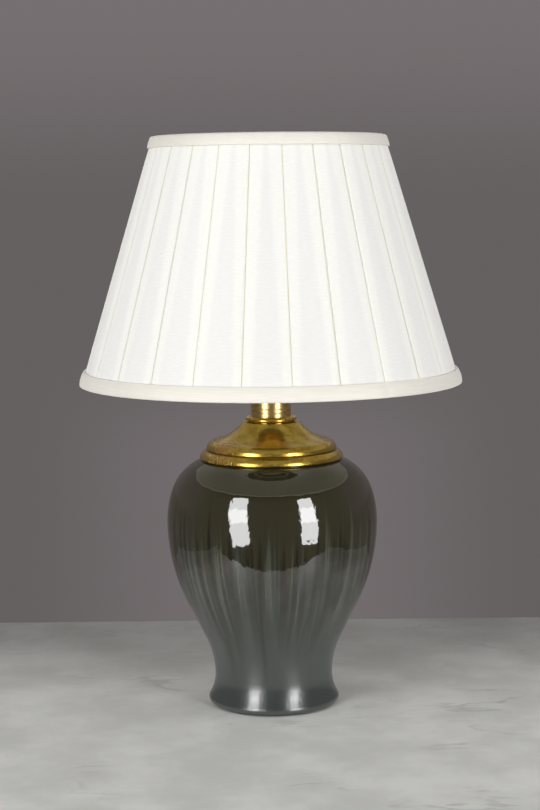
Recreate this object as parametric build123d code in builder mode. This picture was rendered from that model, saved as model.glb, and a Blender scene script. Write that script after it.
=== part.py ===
"""Ginger jar table lamp with a box-pleated empire shade.

Millimetres, +Z up, origin on the table under the middle of the foot, +Y to the lamp's back.
The lamp is a stack on one upright tie rod: jar, plug, cap, neck, lampholder, carrier, shade.
Every height below is either a size of one piece or the sum of the pieces under it.
"""

import os
from math import asin, acos, atan, cos, degrees, radians, sin, sqrt

from build123d import *

os.makedirs("parts", exist_ok=True)

# ---------------------------------------------------------------- driving dimensions

# Fits, shared by all the pieces
slip = 0.05            # radial play of a pin or sleeve in its hole
turning_gap = 0.2      # play between faces that turn or lift on each other
loose_gap = 0.3        # play of pieces that pass through or drop in loosely

# Jar: a chain of tangent arcs, given by their tightest and widest places
felt_thickness = 1.0
felt_width = 8.4
belly_radius = 111.7
belly_height = 197.4
waist_radius = 62.6
waist_height = 31.7
flank_angle = 27.1         # lean of the straight flank, from upright
flare_arc = 45.3           # arc radii, from the foot upwards
waist_arc = 89.7
lower_belly_arc = 195.7
upper_belly_arc = 102.8
upper_belly_angle = 18.3
shoulder_arc = 54.0
foot_edge_radius = 5.0
jar_wall = 6.0
foot_recess_radius = 54.0
floor_height = 33.0
floor_thickness = 7.0
mouth_radius = 50.0
mouth_wall = 6.0
mouth_height = 10.55       # above the seat of the cap
seat_step = 0.3            # the seat stands this much above the shoulder

# Cable outlet at the back of the foot
outlet_height = 23.0
outlet_radius = 4.7
bush_bore_radius = 3.4
bush_flange_radius = 7.0
bush_flange_thickness = 1.8
bush_seat = 62.4           # distance of the spot face from the lamp's axis

# Tie rod and what it clamps
rod_radius = 5.0
rod_bore_radius = 3.5
rod_tail = 4.0             # the rod stands out of the lower nut by this much
lower_nut_flats = 17.0
lower_nut_thickness = 6.0
lower_washer_radius = 16.0
lower_washer_thickness = 1.6
rubber_washer_radius = 18.0
rubber_washer_thickness = 2.0
plug_depth = 12.0
plug_flange_width = 5.0
plug_flange_thickness = 6.0
cap_washer_radius = 12.0
cap_washer_thickness = 1.2
cap_nut_flats = 14.0
cap_nut_thickness = 3.5

# Vase cap, a spun shell
cap_rim_radius = 76.2
cap_rim_edge = 1.5         # rounding of the rim's lower edge
cap_rim_height = 9.45      # from the seat to the groove above the rim
cap_rim_bulge = 1.7
cap_lip_radius = 66.0      # opening in the turned-in underside
cap_groove_radius = 68.7
cap_groove_depth = 0.9
cap_groove_width = 0.9
cap_shoulder_radius = 69.0
cap_shoulder_arc = 9.05
cap_shoulder_angle = 79.0
cap_flare_radius = 30.0    # top of the flare
cap_flare_height = 38.95
cap_ring_radius = 27.0     # the small ring on top
cap_ring_lift = 0.2        # from the top of the flare to the ring's lower edge
cap_ring_section = 2.8
cap_wall = 2.2

# Neck
neck_radius = 21.2
neck_height = 28.0
neck_wall = 1.6
neck_top_thickness = 2.2
neck_groove_section = 0.55
neck_groove_first = 4.4    # from either end of the neck
neck_groove_pitch = 4.4
neck_groove_count = 2

# Lampholder
holder_entry_radius = 9.0
holder_entry_height = 5.0
holder_cap_radius = 20.6
holder_cap_wall = 0.9
holder_dome_height = 13.0
holder_cap_height = 23.0
skirt_wall = 1.1
skirt_bottom = 15.0        # heights in the lampholder are above its own base
skirt_top = 58.0
insulator_bottom = 16.5
insulator_deck = 34.0      # floor of the cup that the bulb screws into
shell_inner_radius = 13.6
shell_wall = 0.5
shell_top = 55.0
tongue_thickness = 0.5
tongue_width = 6.0
tongue_rise = 3.0
bar_radius = 2.0
bar_height = 27.0
bar_travel = 7.0
button_radius = 3.4
button_length = 7.0
button_clearance = 1.5     # left between a button and the skirt when it is pushed home
screw_head_radius = 2.4
screw_head_height = 2.0
screw_shank_radius = 1.5
screw_shank_length = 5.0
screw_circle_radius = 11.0
screw_count = 3
shade_ring_radius = 29.0
shade_ring_thickness = 5.0
shade_ring_lip = 1.6
lower_shade_ring_height = 33.0

# Shade carrier
wire_radius = 2.0
collar_radius = 33.8
collar_thickness = 1.6
carrier_height = 150.0     # from the collar to the ledge that the shade sits on
arm_foot_rise = 10.0
arm_shoulder_rise = 52.0
arm_bend_radius = 14.0
ledge_radius = 54.0
ledge_thickness = 1.6
upright_radius = 49.6
upright_wall = 1.2
upright_height = 7.0

# Shade fitting
fitting_play = 0.4
seat_ring_width = 5.5
seat_ring_thickness = 3.0
boss_radius = 3.2
boss_reach = 1.6           # the bosses stand out of the seat ring by this much
pin_radius = 1.5
pin_head_radius = 2.6
pin_head_thickness = 1.2
gimbal_gap = 2.5           # between the seat ring and the gimbal ring
gimbal_wall = 1.5
gimbal_width = 9.0
drop_arm_radius = 1.6
drop_arm_foot = 6.0
drop_arm_bend_radius = 8.0
drop_arm_count = 4

# Shade: an empire cone, measured on the crest of its pleats
shade_top_radius = 121.2
shade_bottom_radius = 199.5
shade_height = 258.5
shade_drop = 76.2          # from the carrier's ledge up to the top of the shade
pleat_count = 25
pleat_phase = 6.0          # azimuth of the first fold to the right of the front
pleat_crown = 0.7          # how far the middle of a pleat stands above its edges
fold_width = 2.4
fold_depth = 0.9
cloth_thickness = 0.7      # what is left at the bottom of a fold
frame_wire_radius = 1.5
hoop_wire_radius = 1.7
strut_count = 8
lining_thickness = 1.2
cloth_gap = 0.3            # between the layers of cloth and the wires
top_trim_height = 12.0
top_trim_thickness = 1.25
bottom_trim_height = 15.0
bottom_trim_thickness = 2.05

# Bulb
bulb_cap_radius = 13.2
bulb_cap_wall = 0.3
bulb_cap_height = 25.0
bulb_bead_height = 3.0
bulb_contact_radius = 4.5
bulb_contact_height = 1.0
bulb_gap = 0.4             # between the bulb's contact and the tongue
bulb_radius = 30.0
bulb_length = 104.0
bulb_globe_angle = 128.0   # the globe is a sphere this far round from its top
bulb_glass_wall = 0.8
stem_radius = 4.5
stem_height = 30.0
filament_wire_radius = 0.3
filament_half_width = 11.0
filament_rise = 18.0

# ---------------------------------------------------------------- places worked out

# The shoulder arc of the jar ends where the cap sits, and the seat stands a step above it.
cap_seat_radius = cap_rim_radius - cap_rim_edge - cap_groove_depth - slip
shoulder_start_angle = radians(upper_belly_angle)
shoulder_centre_radius = (
    belly_radius - upper_belly_arc + (upper_belly_arc - shoulder_arc) * cos(shoulder_start_angle)
)
shoulder_centre_height = belly_height + (upper_belly_arc - shoulder_arc) * sin(shoulder_start_angle)
shoulder_end_angle = acos((cap_seat_radius - shoulder_centre_radius) / shoulder_arc)
cap_seat_height = shoulder_centre_height + shoulder_arc * sin(shoulder_end_angle) + seat_step
mouth_top = cap_seat_height + mouth_height

cap_top = cap_seat_height + cap_flare_height + cap_ring_lift + 2 * cap_ring_section
neck_top = cap_top + neck_height
holder_base = neck_top

skirt_radius = holder_cap_radius - holder_cap_wall - slip
insulator_radius = skirt_radius - skirt_wall - slip
collar_height = holder_base + lower_shade_ring_height + shade_ring_thickness + turning_gap
ledge_height = collar_height + collar_thickness + carrier_height

seat_ring_radius = upright_radius + fitting_play
seat_ring_outer_radius = seat_ring_radius + seat_ring_width
pivot_height = ledge_height + boss_radius
gimbal_radius = seat_ring_outer_radius + gimbal_gap

shade_top = ledge_height + shade_drop
shade_bottom = shade_top - shade_height
shade_slope = (shade_bottom_radius - shade_top_radius) / shade_height
shade_lean = atan(shade_slope)
across = 1 / cos(shade_lean)   # a thickness of the sloping wall, measured level

pleat_inner = pleat_crown + fold_depth + cloth_thickness
wire_line = pleat_inner + (cloth_gap + frame_wire_radius) * across
lining_outer = wire_line + (frame_wire_radius + cloth_gap) * across
lining_inner = lining_outer + lining_thickness * across
cloth_top = shade_top - top_trim_thickness - cloth_gap
cloth_bottom = shade_bottom + bottom_trim_thickness + cloth_gap

bulb_base = holder_base + insulator_deck + tongue_rise + tongue_thickness + bulb_gap


def crest_radius(height):
    """Radius of the shade on the crest of its pleats, at a height above the table."""
    return shade_top_radius + (shade_top - height) * shade_slope


def ring_section(inner_radius, outer_radius, bottom, top, mode=Mode.ADD):
    """A rectangle in the section plane, given by its two radii and its two heights."""
    with Locations((inner_radius, bottom)):
        Rectangle(outer_radius - inner_radius, top - bottom, align=(Align.MIN, Align.MIN), mode=mode)


# ---------------------------------------------------------------- jar


def jar_wall_line(inset, shoulder_end):
    """The jar's wall from waist to shoulder, moved inwards by inset; returns its two ends."""
    rise = JernArc((belly_radius - inset, belly_height), (0, 1), upper_belly_arc - inset, upper_belly_angle)
    shoulder = JernArc(rise @ 1, rise % 1, shoulder_arc - inset, shoulder_end - upper_belly_angle)
    fall = JernArc((belly_radius - inset, belly_height), (0, -1), lower_belly_arc - inset, -flank_angle)
    flank = JernArc((waist_radius - inset, waist_height), (0, 1), waist_arc + inset, -flank_angle)
    Line(flank @ 1, fall @ 1)
    return flank @ 0, shoulder @ 1


with BuildPart() as jar_body:
    with BuildSketch(Plane.XZ):
        with BuildLine():
            waist_point, seat_point = jar_wall_line(0, degrees(shoulder_end_angle))
            flare_angle = degrees(asin((waist_height - felt_thickness) / flare_arc))
            flare = JernArc(waist_point, (0, -1), flare_arc, flare_angle)
            Polyline(
                flare @ 1,
                (0, felt_thickness),
                (0, mouth_top),
                (mouth_radius + mouth_wall, mouth_top),
                (mouth_radius + mouth_wall, cap_seat_height),
                (cap_seat_radius, cap_seat_height),
                seat_point,
            )
        make_face()
        foot_edge = vertices().group_by(Axis.Y)[0].sort_by(Axis.X)[-1]
        fillet(foot_edge, radius=foot_edge_radius)
        with BuildLine():
            waist_point, top_point = jar_wall_line(jar_wall, 90)
            Polyline(
                waist_point,
                (0, waist_height),
                (0, mouth_top),
                (mouth_radius, mouth_top),
                (mouth_radius, top_point.Y),
                top_point,
            )
        make_face(mode=Mode.SUBTRACT)
        ring_section(0, waist_radius - jar_wall / 2, waist_height, floor_height + floor_thickness)
        ring_section(0, foot_recess_radius, 0, floor_height, mode=Mode.SUBTRACT)
    revolve(axis=Axis.Z)
    with Locations((0, 0, floor_height + floor_thickness)):
        Hole(rod_radius + loose_gap, depth=floor_thickness)
    drill_start = belly_radius   # the drill comes in from outside the belly
    with Locations(Plane(origin=(0, drill_start, outlet_height), x_dir=(1, 0, 0), z_dir=(0, 1, 0))):
        CounterBoreHole(
            radius=outlet_radius + slip,
            counter_bore_radius=bush_flange_radius + loose_gap,
            counter_bore_depth=drill_start - bush_seat,
            depth=drill_start - foot_recess_radius + jar_wall,
        )

with BuildPart() as base_felt:
    with BuildSketch():
        Circle(foot_recess_radius + loose_gap + felt_width)
        Circle(foot_recess_radius + loose_gap, mode=Mode.SUBTRACT)
    extrude(amount=felt_thickness)

with BuildPart() as cable_bush:
    with BuildSketch(Plane(origin=(0, bush_seat, outlet_height), x_dir=(1, 0, 0), z_dir=(0, 1, 0))):
        Circle(bush_flange_radius)
    extrude(amount=bush_flange_thickness)
    fillet(edges().sort_by(Axis.Y)[-1], radius=bush_flange_thickness / 2)
    with BuildSketch(Plane(origin=(0, bush_seat, outlet_height), x_dir=(1, 0, 0), z_dir=(0, -1, 0))):
        Circle(outlet_radius)
    extrude(amount=bush_seat - foot_recess_radius + bush_flange_thickness)
    with Locations(Plane(origin=(0, bush_seat + bush_flange_thickness, outlet_height), z_dir=(0, 1, 0))):
        Hole(bush_bore_radius)

# ---------------------------------------------------------------- tie rod and its clamping parts

rubber_washer_bottom = floor_height - rubber_washer_thickness
lower_washer_bottom = rubber_washer_bottom - lower_washer_thickness
lower_nut_bottom = lower_washer_bottom - lower_nut_thickness
rod_bottom = lower_nut_bottom - rod_tail
rod_top = holder_base + holder_entry_height

with BuildPart() as tie_rod:
    with BuildSketch(Plane.XY.offset(rod_bottom)):
        Circle(rod_radius)
        Circle(rod_bore_radius, mode=Mode.SUBTRACT)
    extrude(amount=rod_top - rod_bottom)

with BuildPart() as rubber_washer:
    with BuildSketch(Plane.XY.offset(rubber_washer_bottom)):
        Circle(rubber_washer_radius)
        Circle(rod_radius + loose_gap, mode=Mode.SUBTRACT)
    extrude(amount=rubber_washer_thickness)

with BuildPart() as lower_washer:
    with BuildSketch(Plane.XY.offset(lower_washer_bottom)):
        Circle(lower_washer_radius)
        Circle(rod_radius + loose_gap, mode=Mode.SUBTRACT)
    extrude(amount=lower_washer_thickness)
    chamfer(edges().group_by(Axis.Z)[0].sort_by(SortBy.LENGTH)[-1], length=lower_washer_thickness / 4)


def hexagon_nut(flats, bottom, thickness):
    """A hexagon nut on the tie rod, its corners turned off above and below."""
    corner_radius = flats / sqrt(3)
    bevel = corner_radius - flats / 2
    with BuildPart() as nut:
        with BuildSketch(Plane.XY.offset(bottom)):
            RegularPolygon(radius=corner_radius, side_count=6)
            Circle(rod_radius, mode=Mode.SUBTRACT)
        extrude(amount=thickness)
        with BuildSketch(Plane.XZ):
            ring_section(0, corner_radius, bottom, bottom + thickness)
            chamfer(vertices().sort_by(Axis.X)[-2:], length=bevel / 2, length2=bevel)
        revolve(axis=Axis.Z, mode=Mode.INTERSECT)
    return nut


lower_nut = hexagon_nut(lower_nut_flats, lower_nut_bottom, lower_nut_thickness)
cap_nut = hexagon_nut(cap_nut_flats, cap_top + cap_washer_thickness, cap_nut_thickness)

with BuildPart() as centring_plug:
    with BuildSketch(Plane.XZ):
        ring_section(rod_radius + loose_gap, mouth_radius - loose_gap, mouth_top - plug_depth, mouth_top)
        ring_section(
            rod_radius + loose_gap,
            mouth_radius + plug_flange_width,
            mouth_top,
            mouth_top + plug_flange_thickness,
        )
        fillet(vertices().sort_by(Axis.X)[-2:], radius=plug_flange_thickness / 4)
    revolve(axis=Axis.Z)

with BuildPart() as cap_washer:
    with BuildSketch(Plane.XY.offset(cap_top)):
        Circle(cap_washer_radius)
        Circle(rod_radius + slip, mode=Mode.SUBTRACT)
    extrude(amount=cap_washer_thickness)

# ---------------------------------------------------------------- vase cap and neck

groove_height = cap_seat_height + cap_rim_height
shoulder_base = groove_height + cap_groove_width
flare_top = cap_seat_height + cap_flare_height
ring_centre_radius = cap_ring_radius - cap_ring_section

with BuildPart() as vase_cap:
    with BuildSketch(Plane.XZ):
        with BuildLine():
            edge = JernArc((cap_rim_radius - cap_rim_edge, cap_seat_height), (1, 0), cap_rim_edge, 90)
            SagittaArc(edge @ 1, (cap_groove_radius, groove_height), -cap_rim_bulge)
            Polyline(
                (cap_groove_radius, groove_height),
                (cap_groove_radius - cap_groove_depth, groove_height + cap_groove_width / 2),
                (cap_shoulder_radius, shoulder_base),
            )
            shoulder = JernArc(
                (cap_shoulder_radius, shoulder_base), (0, 1), cap_shoulder_arc, cap_shoulder_angle
            )
            TangentArc(shoulder @ 1, (cap_flare_radius, flare_top), tangent=shoulder % 1)
            Polyline((cap_flare_radius, flare_top), (0, flare_top), (0, cap_seat_height), edge @ 0)
        make_face()
        mirror(about=Plane.YZ)
        offset(amount=-cap_wall, mode=Mode.SUBTRACT)
        with Locations((0, cap_seat_height)):
            Rectangle(2 * cap_lip_radius, 3 * cap_wall, mode=Mode.SUBTRACT)
        ring_section(0, ring_centre_radius, flare_top - cap_wall, cap_top)
        with Locations((ring_centre_radius, cap_top - cap_ring_section)):
            Circle(cap_ring_section)
        ring_section(-cap_rim_radius, rod_radius + loose_gap, 0, shade_top, mode=Mode.SUBTRACT)
    revolve(axis=Axis.Z)

with BuildPart() as neck_collar:
    with BuildSketch(Plane.XZ):
        ring_section(0, neck_radius, cap_top, neck_top)
        ring_section(0, neck_radius - neck_wall, cap_top, neck_top - neck_top_thickness, mode=Mode.SUBTRACT)
        ring_section(0, rod_radius + loose_gap, cap_top, neck_top, mode=Mode.SUBTRACT)
        for number in range(neck_groove_count):
            distance = neck_groove_first + number * neck_groove_pitch
            with Locations((neck_radius, cap_top + distance), (neck_radius, neck_top - distance)):
                Circle(neck_groove_section, mode=Mode.SUBTRACT)
    revolve(axis=Axis.Z)

# ---------------------------------------------------------------- lampholder

holder_axis = Plane.XY.offset(holder_base)
bar_axis = Plane(origin=(0, 0, holder_base + bar_height), x_dir=(0, 1, 0), z_dir=(1, 0, 0))
dome_radius = holder_dome_height - holder_entry_height


def dome_line(inset):
    """The lower cap's wall from its entry to its rim, moved inwards by inset."""
    dome_start = (holder_entry_radius, holder_base + holder_entry_height + inset)
    dome_end = (holder_cap_radius - inset, holder_base + holder_dome_height)
    Line(dome_start, (holder_cap_radius - dome_radius, dome_start[1]))
    TangentArc((holder_cap_radius - dome_radius, dome_start[1]), dome_end, tangent=(1, 0))
    Line(dome_end, (dome_end[0], holder_base + holder_cap_height))
    return dome_start, (dome_end[0], holder_base + holder_cap_height)


with BuildPart() as holder_cap:
    with BuildSketch(Plane.XZ):
        with BuildLine():
            outer_start, outer_end = dome_line(0)
            inner_start, inner_end = dome_line(holder_cap_wall)
            Line(outer_end, inner_end)
            Line(outer_start, inner_start)
        make_face()
        ring_section(
            rod_radius, holder_entry_radius, holder_base, holder_base + holder_entry_height + holder_cap_wall
        )
    revolve(axis=Axis.Z)

with BuildPart() as holder_skirt:
    with BuildSketch(holder_axis.offset(skirt_bottom)):
        Circle(skirt_radius)
        Circle(skirt_radius - skirt_wall, mode=Mode.SUBTRACT)
    extrude(amount=skirt_top - skirt_bottom)
    fillet(edges().group_by(Axis.Z)[-1], radius=skirt_wall / 3)
    with BuildSketch(bar_axis):
        Circle(bar_radius + loose_gap)
    extrude(amount=2 * skirt_radius, both=True, mode=Mode.SUBTRACT)

cup_radius = shell_inner_radius + shell_wall + loose_gap
screw_places = PolarLocations(screw_circle_radius, screw_count, start_angle=90)

with BuildPart() as holder_insulator:
    with BuildSketch(holder_axis.offset(insulator_bottom)):
        Circle(insulator_radius)
        with screw_places:
            Circle(screw_shank_radius, mode=Mode.SUBTRACT)
    extrude(amount=screw_shank_length)
    with BuildSketch(holder_axis.offset(insulator_bottom + screw_shank_length)):
        Circle(insulator_radius)
    extrude(amount=insulator_deck - insulator_bottom - screw_shank_length)
    with BuildSketch(holder_axis.offset(insulator_deck)):
        Circle(insulator_radius)
        Circle(cup_radius, mode=Mode.SUBTRACT)
    extrude(amount=skirt_top - insulator_deck)
    with BuildSketch(bar_axis):
        Circle(bar_radius + slip)
    extrude(amount=2 * insulator_radius, both=True, mode=Mode.SUBTRACT)

with BuildPart() as terminal_screw:
    with BuildSketch(holder_axis.offset(insulator_bottom - screw_head_height)):
        Circle(screw_head_radius)
        Rectangle(2 * screw_head_radius, screw_head_height / 3, mode=Mode.SUBTRACT)
    extrude(amount=screw_head_height / 2)
    with BuildSketch(holder_axis.offset(insulator_bottom - screw_head_height / 2)):
        Circle(screw_head_radius)
    extrude(amount=screw_head_height / 2)
    with BuildSketch(holder_axis.offset(insulator_bottom)):
        Circle(screw_shank_radius)
    extrude(amount=screw_shank_length)

with BuildPart() as terminal_screws:
    with screw_places:
        add(terminal_screw.part)

with BuildPart() as screw_shell:
    with BuildSketch(Plane.XZ):
        deck = holder_base + insulator_deck
        ring_section(shell_inner_radius, shell_inner_radius + shell_wall, deck, holder_base + shell_top)
        ring_section(tongue_width + tongue_rise, shell_inner_radius + shell_wall, deck, deck + shell_wall)
    revolve(axis=Axis.Z)

with BuildPart() as contact_tongue:
    with BuildSketch(Plane.XZ):
        with BuildLine():
            low = deck + tongue_thickness / 2
            Polyline((-tongue_width, low), (-tongue_width / 3, low), (tongue_width / 2, low + tongue_rise))
        trace(line_width=tongue_thickness)
    extrude(amount=tongue_width / 2, both=True)

button_start = skirt_radius + button_clearance
bar_half_length = button_start + bar_travel / 2 + button_length

with BuildPart() as push_bar:
    with BuildSketch(bar_axis.offset(-bar_travel / 2)):
        Circle(bar_radius)
    extrude(amount=bar_half_length - button_length / 2, both=True)

with BuildPart() as push_bar_buttons:
    for side in (-1, 1):
        with BuildSketch(bar_axis.offset(side * (bar_half_length - button_length / 2) - bar_travel / 2)):
            Circle(button_radius)
        extrude(amount=button_length / 2, both=True)
    fillet(edges().filter_by(GeomType.CIRCLE), radius=button_radius / 4)
    with BuildSketch(bar_axis.offset(-bar_travel / 2)):
        Circle(bar_radius)
    extrude(amount=bar_half_length - button_length / 2, both=True, mode=Mode.SUBTRACT)


def shade_ring(bottom):
    """One of the two screwed rings that hold the carrier's collar between them."""
    with BuildPart() as ring:
        with BuildSketch(Plane.XZ):
            top = bottom + shade_ring_thickness
            ring_section(skirt_radius + slip, shade_ring_radius, bottom, top)
            fillet(vertices().group_by(Axis.X)[-1], radius=shade_ring_lip)
        revolve(axis=Axis.Z)
    return ring


lower_shade_ring = shade_ring(holder_base + lower_shade_ring_height)
upper_shade_ring = shade_ring(collar_height + collar_thickness + turning_gap)

# ---------------------------------------------------------------- shade carrier

collar_top = collar_height + collar_thickness
arm_foot_radius = collar_radius - wire_radius - slip
arm_top_radius = ledge_radius - wire_radius - slip

with BuildPart() as carrier_collar:
    with BuildSketch(Plane.XY.offset(collar_height)):
        Circle(collar_radius)
        Circle(skirt_radius + 2 * loose_gap, mode=Mode.SUBTRACT)
    extrude(amount=collar_thickness)


def carrier_arm(side):
    """One bent wire arm of the carrier, on the left (-1) or the right (1)."""
    foot = (side * arm_foot_radius, 0, collar_top)
    knee = (side * arm_foot_radius, 0, collar_top + arm_foot_rise)
    shoulder_point = (side * arm_top_radius, 0, collar_top + arm_shoulder_rise)
    head = (side * arm_top_radius, 0, ledge_height - ledge_thickness)
    with BuildPart() as arm:
        with BuildLine():
            FilletPolyline(foot, knee, shoulder_point, head, radius=arm_bend_radius)
        with BuildSketch(Plane.XY.offset(collar_top)):
            with Locations((side * arm_foot_radius, 0)):
                Circle(wire_radius)
        sweep()
    return arm


carrier_arm_left = carrier_arm(-1)
carrier_arm_right = carrier_arm(1)

with BuildPart() as carrier_ring:
    with BuildSketch(Plane.XZ):
        ledge_bottom = ledge_height - ledge_thickness
        ring_section(upright_radius - upright_wall, ledge_radius, ledge_bottom, ledge_height)
        ring_section(
            upright_radius - upright_wall, upright_radius, ledge_bottom, ledge_height + upright_height
        )
        fillet(vertices().group_by(Axis.Y)[-1], radius=upright_wall / 3)
    revolve(axis=Axis.Z)

# ---------------------------------------------------------------- shade fitting

gimbal_outer_radius = gimbal_radius + gimbal_wall
boss_face = seat_ring_outer_radius + boss_reach
front = Plane(origin=(0, 0, pivot_height), x_dir=(1, 0, 0), z_dir=(0, -1, 0))
back = Plane(origin=(0, 0, pivot_height), x_dir=(-1, 0, 0), z_dir=(0, 1, 0))

with BuildPart() as seat_ring:
    with BuildSketch(Plane.XZ):
        ring_section(
            seat_ring_radius, seat_ring_outer_radius, ledge_height, ledge_height + seat_ring_thickness
        )
    revolve(axis=Axis.Z)
    for direction in (front, back):
        with BuildSketch(direction.offset(boss_face)):
            Circle(boss_radius)
        extrude(amount=-(boss_face - seat_ring_radius - seat_ring_width / 4))
    for direction in (front, back):
        with BuildSketch(direction.offset(boss_face)):
            Circle(pin_radius)
        extrude(amount=-seat_ring_width, mode=Mode.SUBTRACT)

with BuildPart() as pivot_pins:
    for direction in (front, back):
        with BuildSketch(direction.offset(boss_face - seat_ring_width)):
            Circle(pin_radius)
        extrude(amount=seat_ring_width + gimbal_outer_radius + 2 * turning_gap - boss_face)
        with BuildSketch(direction.offset(gimbal_outer_radius + 2 * turning_gap)):
            Circle(pin_head_radius)
        extrude(amount=pin_head_thickness)

with BuildPart() as gimbal_ring:
    with BuildSketch(Plane.XY.offset(pivot_height)):
        Circle(gimbal_outer_radius)
        Circle(gimbal_radius, mode=Mode.SUBTRACT)
    extrude(amount=gimbal_width / 2, both=True)
    with BuildSketch(Plane.XZ.offset(-2 * gimbal_outer_radius)):
        with Locations((0, pivot_height)):
            Circle(pin_radius + slip)
    extrude(amount=4 * gimbal_outer_radius, mode=Mode.SUBTRACT)

top_hoop_height = cloth_top - hoop_wire_radius - cloth_gap
top_hoop_radius = crest_radius(top_hoop_height) - wire_line
bottom_hoop_height = cloth_bottom + hoop_wire_radius + cloth_gap
bottom_hoop_radius = crest_radius(bottom_hoop_height) - wire_line
drop_arm_knee_radius = crest_radius(top_hoop_height) - lining_inner - 2 * drop_arm_foot

with BuildPart() as drop_arm:
    with BuildLine():
        FilletPolyline(
            (gimbal_outer_radius, 0, pivot_height),
            (gimbal_outer_radius + drop_arm_foot, 0, pivot_height),
            (drop_arm_knee_radius, 0, top_hoop_height),
            (top_hoop_radius - hoop_wire_radius, 0, top_hoop_height),
            radius=drop_arm_bend_radius,
        )
    with BuildSketch(Plane.YZ.offset(gimbal_outer_radius)):
        with Locations((0, pivot_height)):
            Circle(drop_arm_radius)
    sweep()

arm_places = PolarLocations(0, drop_arm_count, start_angle=180 / drop_arm_count)

with BuildPart() as drop_arms:
    with arm_places:
        add(drop_arm.part)

# ---------------------------------------------------------------- shade frame

with BuildPart() as frame_top_hoop:
    with Locations((0, 0, top_hoop_height)):
        Torus(top_hoop_radius, hoop_wire_radius)

with BuildPart() as frame_bottom_hoop:
    with Locations((0, 0, bottom_hoop_height)):
        Torus(bottom_hoop_radius, hoop_wire_radius)

with BuildPart() as strut:
    strut_rise = hoop_wire_radius * cos(shade_lean)
    strut_bottom = bottom_hoop_height + strut_rise
    strut_top = top_hoop_height - strut_rise
    with BuildLine() as strut_line:
        Line(
            (crest_radius(strut_bottom) - wire_line, 0, strut_bottom),
            (crest_radius(strut_top) - wire_line, 0, strut_top),
        )
    with BuildSketch(strut_line.line ^ 0):
        Circle(frame_wire_radius)
    sweep()

with BuildPart() as frame_struts:
    with PolarLocations(0, strut_count):
        add(strut.part)

# ---------------------------------------------------------------- shade cloth


def cone_section(outer_inset, inner_inset, bottom, top, mode=Mode.ADD):
    """A slice of the sloping wall in the section plane, between two insets from the crest."""
    Polygon(
        (crest_radius(bottom) - outer_inset, bottom),
        (crest_radius(top) - outer_inset, top),
        (crest_radius(top) - inner_inset, top),
        (crest_radius(bottom) - inner_inset, bottom),
        align=None,
        mode=mode,
    )


with BuildPart() as shade_lining:
    with BuildSketch(Plane.XZ):
        cone_section(lining_outer, lining_inner, cloth_bottom, top_hoop_height - drop_arm_radius - cloth_gap)
    revolve(axis=Axis.Z)


def pleat_outline(height):
    """The pleated cover's outline at a height: one crowned panel and one fold, repeated."""
    radius = crest_radius(height)
    pitch = 360 / pleat_count
    half_fold = degrees(fold_width / 2 / radius)

    def on_circle(azimuth, distance):
        return (distance * sin(radians(azimuth)), -distance * cos(radians(azimuth)))

    for number in range(pleat_count):
        fold = pleat_phase + number * pitch
        left_edge = on_circle(fold + half_fold, radius - pleat_crown)
        right_edge = on_circle(fold + pitch - half_fold, radius - pleat_crown)
        next_edge = on_circle(fold + pitch + half_fold, radius - pleat_crown)
        ThreePointArc(left_edge, on_circle(fold + pitch / 2, radius), right_edge)
        Polyline(right_edge, on_circle(fold + pitch, radius - pleat_crown - fold_depth), next_edge)


with BuildPart() as shade_pleats:
    for height in (cloth_bottom, cloth_top):
        with BuildSketch(Plane.XY.offset(height)):
            with BuildLine():
                pleat_outline(height)
            make_face()
    loft(ruled=True)
    with Locations((0, 0, cloth_bottom)):
        Cone(
            crest_radius(cloth_bottom) - pleat_inner,
            crest_radius(cloth_top) - pleat_inner,
            cloth_top - cloth_bottom,
            align=(Align.CENTER, Align.CENTER, Align.MIN),
            mode=Mode.SUBTRACT,
        )


def trim_section(thickness, open_end, closed_end, cut_end):
    """A folded binding: a pocket round the layers of cloth, one thickness of trim about it."""
    pocket = (-cloth_gap, lining_inner + cloth_gap, *sorted((open_end, closed_end)))
    cone_section(*pocket)
    offset(amount=thickness)
    cone_section(*pocket, mode=Mode.SUBTRACT)
    ring_section(0, 2 * shade_bottom_radius, *sorted((cut_end, 2 * open_end - cut_end)), mode=Mode.SUBTRACT)


top_trim_end = shade_top - top_trim_height
bottom_trim_end = shade_bottom + bottom_trim_height

with BuildPart() as top_trim:
    with BuildSketch(Plane.XZ):
        trim_section(
            top_trim_thickness,
            open_end=top_trim_end - 2 * top_trim_thickness,
            closed_end=shade_top - top_trim_thickness,
            cut_end=top_trim_end,
        )
    revolve(axis=Axis.Z)
    with arm_places:
        with Locations((crest_radius(shade_top) - lining_inner, 0, top_trim_end)):
            Box(
                4 * lining_thickness,
                2 * (drop_arm_radius + cloth_gap),
                2 * (top_hoop_height + drop_arm_radius + cloth_gap - top_trim_end),
                mode=Mode.SUBTRACT,
            )

with BuildPart() as bottom_trim:
    with BuildSketch(Plane.XZ):
        trim_section(
            bottom_trim_thickness,
            open_end=bottom_trim_end + 2 * bottom_trim_thickness,
            closed_end=shade_bottom + bottom_trim_thickness,
            cut_end=bottom_trim_end,
        )
    revolve(axis=Axis.Z)

# ---------------------------------------------------------------- bulb

bead_bottom = bulb_base + bulb_contact_height
bulb_cap_bottom = bead_bottom + bulb_bead_height
bulb_cap_top = bulb_base + bulb_cap_height
glass_bottom = bulb_cap_top - bulb_bead_height
glass_neck_radius = bulb_cap_radius - bulb_cap_wall - slip
bead_radius = bulb_cap_radius - bulb_bead_height / 2

with BuildPart() as bulb_contact:
    with BuildSketch(Plane.XY.offset(bulb_base)):
        Circle(bulb_contact_radius)
    extrude(amount=bulb_contact_height)
    fillet(edges().group_by(Axis.Z)[0], radius=bulb_contact_height / 2)

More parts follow.
